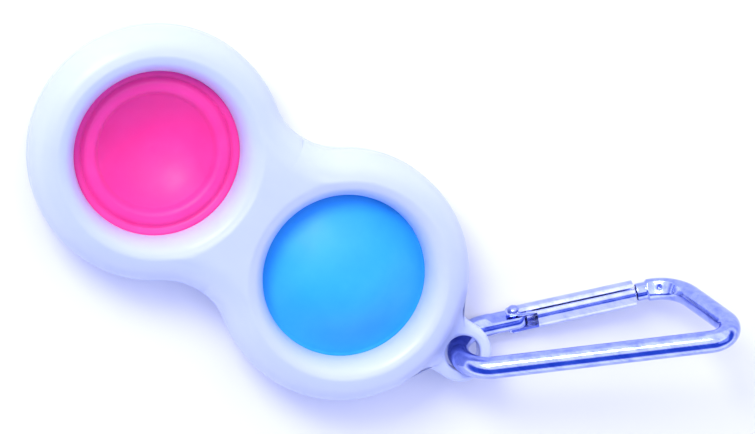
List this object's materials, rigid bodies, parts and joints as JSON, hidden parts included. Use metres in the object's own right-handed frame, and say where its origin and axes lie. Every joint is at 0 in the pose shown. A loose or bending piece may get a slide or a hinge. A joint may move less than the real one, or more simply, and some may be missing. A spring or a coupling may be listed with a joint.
{
  "type": "pop fidget keychain",
  "caption": "Figure-of-eight plastic frame with push-through silicone domes, and an ear that carries a small spring-gate clip.",
  "frame": {"origin": "middle of the flat land on the frame's back, midway between the domes", "axes": "+Z out of the front face, +X from the pink dome to the blue dome and the ear"},
  "size_m": [0.1267, 0.0559, 0.0243],
  "materials": {
    "white_shell": "glossy moulded ABS",
    "pink_silicone": "satin silicone",
    "blue_silicone": "satin silicone",
    "clip_metal": "drawn and tumbled, bright",
    "small_steel": "plated"
  },
  "bodies": {
    "frame": {"front_shell": "white_shell", "back_shell": "white_shell", "pink_dome_rim": "pink_silicone", "pink_dome_skirt": "pink_silicone", "blue_dome_rim": "blue_silicone", "blue_dome_skirt": "blue_silicone"},
    "pink_crown": {"pink_dome_crown": "pink_silicone"},
    "blue_crown": {"blue_dome_crown": "blue_silicone"},
    "clip": {"clip_body": "clip_metal", "gate_rivet": "small_steel"},
    "gate": {"clip_gate": "clip_metal", "gate_spring": "small_steel"}
  },
  "joints": [
    {"name": "pink_pop", "type": "slide", "parent": "frame", "child": "pink_crown", "axis": [0, 0, 1], "range_m": [0, 0.0104], "deforming": ["pink_dome_skirt"]},
    {"name": "blue_pop", "type": "slide", "parent": "frame", "child": "blue_crown", "axis": [0, 0, -1], "range_m": [0, 0.0104], "deforming": ["blue_dome_skirt"]},
    {"name": "clip_swing", "type": "hinge", "parent": "frame", "child": "clip", "pos_m": [0.04685, 0, 0.007], "axis": [0, 0, 1], "range_deg": [-150, 45]},
    {"name": "gate_open", "type": "hinge", "parent": "clip", "child": "gate", "pos_m": [0.05331, 0.00976, 0.00235], "axis": [0.6899, -0.6232, -0.3683], "range_deg": [0, 30], "stiffness_Nm_per_rad": 0.02, "springref_deg": -20.05}
  ]
}
